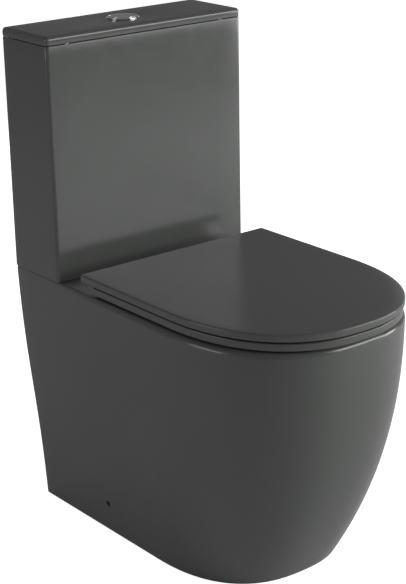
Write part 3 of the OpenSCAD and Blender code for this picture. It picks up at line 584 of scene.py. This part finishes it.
def make_cistern():
    """Open topped cistern from inside floor to underside, with the holes for its fittings."""
    floor_z = cistern_low.z + CISTERN_FLOOR
    top_z = cistern_high.z
    lip = CISTERN_LIP
    rings = []
    for across, up in quarter(5):
        rings.append(at_height(tank_plan(TANK_FILLET * (1 - up)), floor_z + TANK_FILLET * across))
    wall_steps = 16
    for k in range(1, wall_steps + 1):
        z = floor_z + TANK_FILLET + (top_z - lip - floor_z - TANK_FILLET) * k / wall_steps
        rings.append(at_height(tank_plan(0), z))
    for across, up in quarter(4)[1:]:
        rings.append(at_height(tank_plan(-lip * across), top_z - lip + lip * up))
    for across, up in reversed(quarter(4)):
        rings.append(at_height(cistern_plan(lip * across), top_z - lip + lip * up))
    for k in range(1, wall_steps + 1):
        z = top_z - lip + (cistern_low.z + CISTERN_FOOT - top_z + lip) * k / wall_steps
        rings.append(at_height(cistern_plan(0), z))
    for across, up in quarter(6)[1:]:
        rings.append(at_height(cistern_plan(CISTERN_FOOT * across),
                               cistern_low.z + CISTERN_FOOT - CISTERN_FOOT * up))
    cistern = skin("cistern_shell", rings)
    holes = [(OUTLET_HOLE, 0), (INLET_HOLE, SUPPLY_X), (BOLT_HOLE, BOLT_X), (BOLT_HOLE, -BOLT_X)]
    for radius, x in holes:
        hole = flared_hole("floor_hole", radius, (x, TANK_Y, floor_z), FLOOR_CUT)
        combine(cistern, hole, "DIFFERENCE")
    finish_mesh(cistern, "cistern_ceramic")
    return cistern


def make_lid():
    """Loose lid with a rib that sits inside the cistern, and the button's hole."""
    top_z = lid_high.z
    under_z = top_z - LID_HEIGHT
    edge = LID_FOOT_EDGE
    outer_corner, inner_corner = LID_RIB_CORNERS
    rings = [at_height(cistern_plan(LID_EDGE), top_z)]
    for across, up in reversed(quarter(10)[:-1]):
        rings.append(at_height(cistern_plan(LID_EDGE * across), top_z - LID_EDGE + LID_EDGE * up))
    for across, up in quarter(3):
        rings.append(at_height(cistern_plan(edge * across), under_z + edge - edge * up))
    lip_inset = CISTERN_WALL + LID_LIP_GAP
    low_z = lid_low.z
    rings.append(at_height(cistern_plan(lip_inset, outer_corner), under_z))
    for across, up in quarter(3):
        rings.append(at_height(cistern_plan(lip_inset + edge * across, outer_corner),
                               low_z + edge - edge * up))
    inner_inset = lip_inset + LID_LIP_WIDTH
    for across, up in reversed(quarter(3)):
        rings.append(at_height(cistern_plan(inner_inset - edge * across, inner_corner),
                               low_z + edge - edge * up))
    rings.append(at_height(cistern_plan(inner_inset, inner_corner), under_z + LID_POCKET))
    lid = skin("lid_shell", rings)
    combine(lid, flared_hole("button_hole", BUTTON_HOLE, (0, TANK_Y, top_z), DECK_CUT), "DIFFERENCE")
    finish_mesh(lid, "cistern_lid_ceramic")
    return lid


# ---- push button -----------------------------------------------------------

def make_bezel():
    """Rim round the push button, on a sleeve that goes through the lid."""
    low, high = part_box("button_bezel")
    rim = high.x
    bore, tube_radius = BUTTON_SLEEVE
    shelf_z = lid_high.z
    round_over = 1.6 * MM
    profile = [(bore, low.z), (tube_radius, low.z), (tube_radius, shelf_z), (rim - 0.3 * MM, shelf_z)]
    profile.append((rim, shelf_z + 0.3 * MM))
    profile += [(rim - round_over * across, high.z - round_over + round_over * up)
                for across, up in quarter(8)]
    inner = 0.7 * MM
    profile += [(bore + inner * across, high.z - inner + inner * up)
                for across, up in reversed(quarter(5))]
    bezel = lathe("bezel", profile, (0, TANK_Y, 0), looped=True, segments=128)
    finish_mesh(bezel, "button_bezel_chrome")
    return bezel


def cap_outline(radius, chord_x, corner, side):
    """Round cap cut along a chord, with soft corners. The side is -1 for the larger, left half."""
    chord = side * -chord_x
    radius_in, x_in = radius - corner, chord - corner
    y_in = math.sqrt(radius_in ** 2 - x_in ** 2)
    open_turn = math.atan2(y_in, x_in)
    points = []
    arc_steps = 72
    corner_steps = 6
    for k in range(arc_steps + 1):
        turn = open_turn + (2 * math.pi - 2 * open_turn) * k / arc_steps
        points.append((radius * math.cos(turn), radius * math.sin(turn)))
    for low_turn, high_turn, y in ((-open_turn, 0, -y_in), (0, open_turn, y_in)):
        for k in range(1, corner_steps + 1) if y < 0 else range(corner_steps):
            turn = low_turn + (high_turn - low_turn) * k / corner_steps
            points.append((x_in + corner * math.cos(turn), y + corner * math.sin(turn)))
    return [(-side * x, y + TANK_Y) for x, y in points]


def make_cap(name, node, chord_x, side, stem_x):
    """One half of the push button, slightly dished, with a hole for its stem."""
    low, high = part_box(node)
    edge = 0.9 * MM
    dish = 0.5 * MM
    corner = 1.6 * MM
    rings = [at_height(cap_outline(CAP_RADIUS, chord_x, corner, side), low.z)]
    for across, up in quarter(6):
        inset = edge * across
        outline = cap_outline(CAP_RADIUS - inset, chord_x + side * inset, corner - inset, side)
        rings.append(at_height(outline, high.z - edge + edge * up))
    rim = [(x, y) for x, y, z in rings[-1]]
    centre = centre_of(rim)
    dish_steps = 8
    for k in range(1, dish_steps):
        share = k / dish_steps
        outline = [mix(p, centre, share) for p in rim]
        rings.append(at_height(outline, high.z - dish * math.sin(math.pi / 2 * share) ** 2))
    cap = skin(name, rings)
    stem_hole = lathe("stem_hole", [(STEM_HOLE, -1 * MM), (STEM_HOLE, STEM_HOLE_DEPTH)],
                      (stem_x, TANK_Y, low.z), segments=32)
    combine(cap, stem_hole, "DIFFERENCE")
    finish_mesh(cap, name)
    return cap


# ---- seat ------------------------------------------------------------------

def seat_plan(inset, back_y):
    """Outline of the seat, moved in by an inset."""
    arc_y = COVER_BACK_Y + (SEAT_FRONT_Y - COVER_BACK_Y) * SEAT_ARC_SHARE
    return d_plan(SEAT_HALF - inset, SEAT_HALF - inset, arc_y, SEAT_FRONT_Y + inset, back_y - inset,
                  SEAT_SQUARENESS, SEAT_CORNER)


def lug(name, centre_x, outline):
    """Hinge lug from an outline in the side view, with softened ends."""
    edge = 0.8 * MM
    centre = centre_of(outline)
    rings = []
    for x, grow in ((-0.5, 0.9), (-0.5 + edge / LUG_WIDTH, 1), (0.5 - edge / LUG_WIDTH, 1), (0.5, 0.9)):
        rings.append([(centre_x + x * LUG_WIDTH, *mix(centre, p, grow)) for p in outline])
    return skin(name, rings)


def knuckle_arc(start, end, steps=20):
    """Arc round the hinge axis in the side view, in degrees."""
    turns = [math.radians(start + (end - start) * k / steps) for k in range(steps + 1)]
    return [(HINGE_Y + KNUCKLE * math.cos(t), HINGE_Z + KNUCKLE * math.sin(t)) for t in turns]


def pin_hole(centre_x):
    """Cutter for the hinge pin."""
    return lathe("pin_hole", [(PIN_HOLE, -LUG_WIDTH), (PIN_HOLE, LUG_WIDTH)],
                 (centre_x, HINGE_Y, HINGE_Z), "X", 32)


def make_seat_ring():
    """Seat ring with a soft inner edge and two hinge lugs."""
    guide = seat_plan(RING_INSET, RING_BACK_Y)
    bottom_edge = SEAT_FOOT_EDGE
    inner_edge = 4 * MM
    fall = 1.4 * MM

    def hole(grow, z):
        return at_height(oval(RING_HOLE[0] + grow, RING_HOLE[1] + grow, RING_HOLE_Y, guide), z)

    rings = []
    for across, up in reversed(quarter(4)):
        rings.append(at_height(seat_plan(RING_INSET + bottom_edge * across, RING_BACK_Y),
                               RING_BOTTOM_Z + bottom_edge - bottom_edge * up))
    for across, up in quarter(6):
        rings.append(at_height(seat_plan(RING_INSET + RING_EDGE * across, RING_BACK_Y),
                               RING_TOP_Z - RING_EDGE + RING_EDGE * up))
    outer = [(x, y) for x, y, z in rings[-1]]
    inner_top = [(x, y) for x, y, z in hole(inner_edge, 0)]
    top_steps = 10
    for k, outline in enumerate(between(outer, inner_top, top_steps), 1):
        share = k / top_steps
        rings.append(at_height(outline, RING_TOP_Z - fall * share ** 2))
    edge_z = RING_TOP_Z - fall - inner_edge
    for across, up in reversed(quarter(6)[:-1]):
        rings.append(hole(inner_edge * across, edge_z + inner_edge * up))
    for across, up in quarter(4):
        rings.append(hole(bottom_edge * across, RING_BOTTOM_Z + bottom_edge - bottom_edge * up))
    last = [(x, y) for x, y, z in rings[-1]]
    first = [(x, y) for x, y, z in rings[0]]
    for outline in between(last, first, 6)[:-1]:
        rings.append(at_height(outline, RING_BOTTOM_Z))
    ring = skin("ring_shell", rings, looped=True)
    tongue = [(RING_BACK_Y - 6 * MM, HINGE_Z - 5 * MM), *knuckle_arc(-90, 100),
              (RING_BACK_Y + 1 * MM, RING_TOP_Z - 0.8 * MM), (RING_BACK_Y - 6 * MM, RING_TOP_Z - 1 * MM)]
    for side in (-1, 1):
        centre_x = side * (HINGE_SPACING / 2 - LUG_CENTRE)
        combine(ring, lug("ring_lug", centre_x, tongue), "UNION")
        combine(ring, pin_hole(centre_x), "DIFFERENCE")
    finish_mesh(ring, "seat_ring_shell")
    return ring


def make_seat_cover():
    """Slightly crowned cover with a pocket under its back edge and two hinge lugs."""
    bottom_edge = SEAT_FOOT_EDGE
    crown = 0.5 * MM
    top_z = COVER_TOP_Z - crown
    rings = []
    for across, up in reversed(quarter(4)):
        rings.append(at_height(seat_plan(bottom_edge * across, COVER_BACK_Y),
                               COVER_BOTTOM_Z + bottom_edge - bottom_edge * up))
    for across, up in quarter(8):
        rings.append(at_height(seat_plan(COVER_EDGE * across, COVER_BACK_Y),
                               top_z - COVER_EDGE + COVER_EDGE * up))
    outer = [(x, y) for x, y, z in rings[-1]]
    centre = centre_of(outer)
    crown_steps = 12
    for k in range(1, crown_steps):
        share = k / crown_steps
        outline = [mix(p, centre, share) for p in outer]
        rings.append(at_height(outline, top_z + crown * math.sin(math.pi / 2 * share) ** 2))
    cover = skin("cover_shell", rings)
    pocket_half = SEAT_HALF - 22 * MM
    pocket_z = COVER_BOTTOM_Z + 4 * MM
    pocket = rounded_plan(pocket_half, RING_BACK_Y, COVER_BACK_Y + 20 * MM, 5 * MM)
    combine(cover, skin("pocket", [at_height(pocket, COVER_BOTTOM_Z - 5 * MM),
                                   at_height(pocket, pocket_z)]), "DIFFERENCE")
    tab = [*knuckle_arc(-180, 0), (HINGE_Y + 5.5 * MM, pocket_z + 1 * MM),
           (HINGE_Y - 5.5 * MM, pocket_z + 1 * MM)]
    for side in (-1, 1):
        centre_x = side * (HINGE_SPACING / 2 + LUG_CENTRE)
        combine(cover, lug("cover_lug", centre_x, tab), "UNION")
        combine(cover, pin_hole(centre_x), "DIFFERENCE")
    finish_mesh(cover, "seat_cover_shell")
    return cover


# ---- materials -------------------------------------------------------------

class Nodes:
    """Short calls for building one material's node tree."""

    def __init__(self, name):
        self.material = bpy.data.materials.new(name)
        self.material.use_nodes = True
        self.tree = self.material.node_tree
        self.shader = self.tree.nodes["Principled BSDF"]
        self.place = self.add("ShaderNodeTexCoord").outputs["Object"]

    def add(self, kind, **settings):
        node = self.tree.nodes.new(kind)
        for key, value in settings.items():
            setattr(node, key, value)
        return node

    def join(self, source, target):
        self.tree.links.new(source, target)

    def stretched(self, scale):
        mapping = self.add("ShaderNodeMapping")
        mapping.inputs["Scale"].default_value = scale
        self.join(self.place, mapping.inputs["Vector"])
        return mapping.outputs["Vector"]

    def noise(self, scale, detail=2.0, rough=0.5, place=None):
        node = self.add("ShaderNodeTexNoise")
        node.inputs["Scale"].default_value = scale
        node.inputs["Detail"].default_value = detail
        node.inputs["Roughness"].default_value = rough
        self.join(place or self.place, node.inputs["Vector"])
        return node.outputs["Fac"]

    def spots(self, scale, low, high):
        """1 in the middle of scattered small cells and 0 between them."""
        node = self.add("ShaderNodeTexVoronoi")
        node.inputs["Scale"].default_value = scale
        self.join(self.place, node.inputs["Vector"])
        return self.spread(node.outputs["Distance"], low, high, 1, 0)

    def spread(self, source, from_low, from_high, to_low, to_high):
        node = self.add("ShaderNodeMapRange")
        for name, value in (("From Min", from_low), ("From Max", from_high), ("To Min", to_low),
                            ("To Max", to_high)):
            node.inputs[name].default_value = value
        self.join(source, node.inputs["Value"])
        return node.outputs["Result"]

    def blend(self, share, first, second):
        """A colour between two, each a colour or a socket."""
        node = self.add("ShaderNodeMix", data_type="RGBA")
        self.join(share, node.inputs["Factor"])
        for value, name in ((first, 6), (second, 7)):
            if isinstance(value, tuple):
                node.inputs[name].default_value = (*value, 1)
            else:
                self.join(value, node.inputs[name])
        return node.outputs[2]

    def colour(self, source):
        self.join(source, self.shader.inputs["Base Color"])

    def rough(self, source):
        self.join(source, self.shader.inputs["Roughness"])

    def relief(self, layers):
        """Bump from several heights, each a (socket, depth in metres) pair."""
        normal = None
        for source, depth in layers:
            bump = self.add("ShaderNodeBump")
            bump.inputs["Distance"].default_value = depth
            self.join(source, bump.inputs["Height"])
            if normal:
                self.join(normal, bump.inputs["Normal"])
            normal = bump.outputs["Normal"]
        self.join(normal, self.shader.inputs["Normal"])

    def set(self, **values):
        for name, value in values.items():
            self.shader.inputs[name.replace("_", " ")].default_value = value


def shade(colour, factor):
    """A colour made lighter or darker."""
    return tuple(c * factor for c in colour)


def glaze_material(name, colour):
    """Satin coloured glaze over china: soft waves, fine orange peel and faint mottling."""
    m = Nodes(name)
    m.set(Coat_Weight=0.05, Coat_Roughness=0.08, IOR=1.5)
    broad = m.noise(5.5, 3.0)
    fine = m.noise(420, 2.0, 0.6)
    tone = m.blend(m.spread(broad, 0.3, 0.7, 0, 1), shade(colour, 0.965), shade(colour, 1.035))
    m.colour(m.blend(m.spread(fine, 0.35, 0.65, 0, 0.5), tone, shade(colour, 1.06)))
    m.rough(m.spread(m.noise(38, 4.0, 0.55), 0.3, 0.7, 0.18, 0.23))
    m.relief([(m.noise(11, 1.0), 0.5 * MM), (m.noise(330, 2.0), 0.012 * MM),
              (m.noise(1500, 1.0), 0.003 * MM)])
    return m.material


def seat_material(name, colour):
    """Pressed duroplast with a silk finish: even colour, tight grain and light rubbing marks."""
    m = Nodes(name)
    m.set(IOR=1.5)
    grain = m.noise(1400, 2.0, 0.6)
    tone = m.blend(m.spread(m.noise(7, 3.0), 0.3, 0.7, 0, 1), shade(colour, 0.97), shade(colour, 1.03))
    m.colour(m.blend(m.spread(grain, 0.35, 0.65, 0, 0.5), tone, shade(colour, 1.08)))
    rubbed = m.noise(60, 5.0, 0.6, m.stretched((1, 0.18, 1)))
    m.rough(m.spread(rubbed, 0.3, 0.7, 0.19, 0.26))
    m.relief([(m.noise(16, 1.0), 0.12 * MM), (grain, 0.006 * MM)])
    return m.material


def chrome_material(name, colour, roughness, finish_depth):
    """Polished plating with hairline marks and slight ripple."""
    m = Nodes(name)
    m.set(Metallic=1.0)
    hair = m.noise(90, 6.0, 0.65, m.stretched((1, 14, 1)))
    m.colour(m.blend(m.spread(m.noise(45, 2.0), 0.3, 0.7, 0, 1), shade(colour, 0.95), colour))
    m.rough(m.spread(hair, 0.35, 0.7, roughness, roughness + 0.07))
    m.relief([(m.noise(70, 1.0), finish_depth), (hair, 0.002 * MM)])
    return m.material


def plastic_material(name, colour, roughness=0.42, clear=0.0):
    """Injection moulded plastic: fine spark texture, slight flow lines and cloudy tone."""
    m = Nodes(name)
    m.set(IOR=1.46, Subsurface_Weight=clear, Subsurface_Scale=0.004)
    flow = m.noise(26, 3.0, 0.5, m.stretched((1, 1, 0.25)))
    spark = m.noise(1900, 1.0)
    m.colour(m.blend(m.spread(flow, 0.3, 0.7, 0, 1), shade(colour, 0.93), colour))
    m.rough(m.spread(flow, 0.3, 0.7, roughness - 0.05, roughness + 0.05))
    m.relief([(flow, 0.05 * MM), (spark, 0.006 * MM)])
    return m.material


def rubber_material(name, colour, roughness=0.7):
    """Moulded rubber: matt, with a dusty bloom."""
    m = Nodes(name)
    m.set(IOR=1.5, Sheen_Weight=0.15, Sheen_Roughness=0.5)
    bloom = m.noise(85, 4.0, 0.6)
    m.colour(m.blend(m.spread(bloom, 0.45, 0.75, 0, 1), colour, tuple(c + 0.02 for c in colour)))
    m.rough(m.spread(bloom, 0.3, 0.7, roughness - 0.06, roughness + 0.08))
    m.relief([(m.noise(700, 2.0), 0.01 * MM)])
    return m.material


def metal_material(name, colour, roughness, stretch):
    """Worked metal: turning or brushing lines, dull patches and small pits."""
    m = Nodes(name)
    m.set(Metallic=1.0)
    lines = m.noise(160, 5.0, 0.7, m.stretched(stretch))
    dull = m.noise(55, 3.0)
    pits = m.spots(1100, 0.05, 0.2)
    tone = m.blend(m.spread(dull, 0.35, 0.65, 0, 1), shade(colour, 0.82), colour)
    m.colour(m.blend(m.spread(pits, 0, 1, 0, 0.4), tone, shade(colour, 0.55)))
    m.rough(m.spread(lines, 0.3, 0.7, roughness - 0.08, roughness + 0.1))
    m.relief([(lines, 0.01 * MM), (pits, -0.006 * MM)])
    return m.material


GLAZE_COLOUR = (0.098, 0.103, 0.098)
SEAT_COLOUR = (0.100, 0.105, 0.099)

MATERIALS = {
    "glaze": glaze_material("satin_glaze", GLAZE_COLOUR),
    "seat": seat_material("silk_duroplast", SEAT_COLOUR),
    "chrome": chrome_material("polished_chrome", (0.82, 0.83, 0.84), 0.1, 0.05 * MM),
    "chromed_plastic": chrome_material("polished_chromed_plastic", (0.8, 0.81, 0.82), 0.07, 0.12 * MM),
    "white_plastic": plastic_material("moulded_white_plastic", (0.80, 0.80, 0.76), 0.4, 0.1),
    "grey_plastic": plastic_material("moulded_grey_plastic", (0.42, 0.47, 0.51), 0.38),
    "blue_plastic": plastic_material("moulded_blue_plastic", (0.05, 0.16, 0.42), 0.36),
    "green_plastic": plastic_material("moulded_green_plastic", (0.07, 0.33, 0.11), 0.36),
    "rubber": rubber_material("black_rubber", (0.018, 0.018, 0.019)),
    "pad": rubber_material("pale_pad_rubber", (0.62, 0.62, 0.58), 0.6),
    "steel": metal_material("brushed_steel", (0.60, 0.61, 0.62), 0.32, (1, 1, 10)),
    "brass": metal_material("turned_brass", (0.72, 0.52, 0.24), 0.34, (1, 1, 12)),
}


# ---- dressing the frame ----------------------------------------------------

def dress(piece, slot_name, body, *nodes):
    """Gives a finished piece its material and body, and hides the nodes it stands for."""
    piece.data.materials.clear()
    piece.data.materials.append(MATERIALS[slot_name])
    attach(piece, body)
    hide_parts(*nodes)


for part in frame["record"]["subparts"]:
    cad = frame["nodes"][part["node"]]
    cad.data.materials.clear()
    cad.data.materials.append(MATERIALS[part["material_slot"]])

dress(make_pan(), "glaze", "base", "pan")
dress(make_cistern(), "glaze", "base", "cistern")
dress(make_lid(), "glaze", "cistern_lid", "cistern_lid")
dress(make_bezel(), "chromed_plastic", "cistern_lid", "button_bezel")
dress(make_cap("full_flush_cap", "full_flush_button", FULL_CHORD_X, -1, FULL_STEM_X),
      "chromed_plastic", "full_flush_button", "full_flush_button")
dress(make_cap("half_flush_cap", "half_flush_button", HALF_CHORD_X, 1, HALF_STEM_X),
      "chromed_plastic", "half_flush_button", "half_flush_button")
dress(make_seat_ring(), "seat", "seat_ring", "seat_ring")
dress(make_seat_cover(), "seat", "seat_cover", "seat_cover")


# ---- studio ----------------------------------------------------------------

AIM = Vector((-42.0, -2.5, 411.1)) * MM
CAMERA_AZIMUTH = -38.14
CAMERA_ELEVATION = 20.02
CAMERA_ROLL = -1.11
CAMERA_DISTANCE = 2.5212
SENSOR_WIDTH = 36
LENS = 142.57
CAMERA_SHIFT = (-0.0081, 0.0314)
LIGHT_DISTANCE = 3.0
FLOOR_SIZE = 30
FLOOR_GLOW = 0.9
AMBIENT = 0.16
WORLD_WHITE = 1.1


def direction(azimuth, elevation):
    """Unit vector from the object, 0 to the front and positive to the right, in degrees."""
    a, e = math.radians(azimuth), math.radians(elevation)
    return Vector((math.sin(a) * math.cos(e), -math.cos(a) * math.cos(e), math.sin(e)))


def make_camera():
    """Camera in front of the left side, looking slightly down."""
    data = bpy.data.cameras.new("camera")
    data.sensor_fit = "HORIZONTAL"
    data.sensor_width = SENSOR_WIDTH
    data.lens = LENS
    data.shift_x, data.shift_y = CAMERA_SHIFT
    data.clip_end = 60
    camera = bpy.data.objects.new("camera", data)
    bpy.context.scene.collection.objects.link(camera)
    back = direction(CAMERA_AZIMUTH, CAMERA_ELEVATION)
    right = Vector((0, 0, 1)).cross(back).normalized()
    up = back.cross(right)
    roll = math.radians(CAMERA_ROLL)
    x = right * math.cos(roll) + up * math.sin(roll)
    y = up * math.cos(roll) - right * math.sin(roll)
    camera.matrix_world = Matrix((x, y, back)).transposed().to_4x4()
    camera.location = AIM + back * CAMERA_DISTANCE
    bpy.context.scene.camera = camera


def softbox(name, azimuth, elevation, width, height, watts):
    """Rectangular light that faces the toilet from a direction."""
    data = bpy.data.lights.new(name, "AREA")
    data.shape = "RECTANGLE"
    data.size = width
    data.size_y = height
    data.energy = watts
    lamp = bpy.data.objects.new(name, data)
    bpy.context.scene.collection.objects.link(lamp)
    toward = direction(azimuth, elevation)
    lamp.location = AIM + toward * LIGHT_DISTANCE
    lamp.rotation_euler = toward.to_track_quat("Z", "Y").to_euler()


def make_floor():
    """Pale floor that shows nearly white, and lights the object only by what falls on it."""
    corners = [(x * FLOOR_SIZE, y * FLOOR_SIZE, 0) for x, y in ((-1, -1), (1, -1), (1, 1), (-1, 1))]
    mesh = bpy.data.meshes.new("floor")
    mesh.from_pydata(corners, [], [(0, 1, 2, 3)])
    floor = bpy.data.objects.new("floor", mesh)
    bpy.context.scene.collection.objects.link(floor)
    m = Nodes("pale_floor")
    tone = m.spread(m.noise(2.5, 3.0), 0.3, 0.7, 0, 1)
    m.colour(m.blend(tone, (0.86, 0.86, 0.86), (0.9, 0.9, 0.9)))
    m.rough(m.spread(m.noise(30, 3.0), 0.3, 0.7, 0.8, 0.95))
    m.set(Specular_IOR_Level=0.1)
    m.shader.inputs["Emission Color"].default_value = (1, 1, 1, 1)
    seen = m.add("ShaderNodeLightPath").outputs["Is Camera Ray"]
    m.join(m.spread(seen, 0, 1, 0, FLOOR_GLOW), m.shader.inputs["Emission Strength"])
    mesh.materials.append(m.material)


def make_world():
    """White behind the object, and dim light all round it."""
    world = bpy.data.worlds.new("studio")
    world.use_nodes = True
    bpy.context.scene.world = world
    tree = world.node_tree
    background = tree.nodes["Background"]
    background.inputs["Color"].default_value = (1, 1, 1, 1)
    seen = tree.nodes.new("ShaderNodeLightPath").outputs["Is Camera Ray"]
    strength = tree.nodes.new("ShaderNodeMapRange")
    strength.inputs["To Min"].default_value = AMBIENT
    strength.inputs["To Max"].default_value = WORLD_WHITE
    tree.links.new(seen, strength.inputs["Value"])
    tree.links.new(strength.outputs["Result"], background.inputs["Strength"])


make_camera()
make_floor()
make_world()
softbox("key", 37, 19, 1.7, 1.3, 42)
softbox("low_right", 62, 4, 1.1, 0.8, 24)
softbox("left", -106, 10, 1.4, 1.3, 13)
softbox("right_rim", 115, 10, 1.3, 1.3, 3)
softbox("back", 165, 4, 1.8, 0.4, 14)

bpy.context.scene.view_settings.view_transform = "Standard"
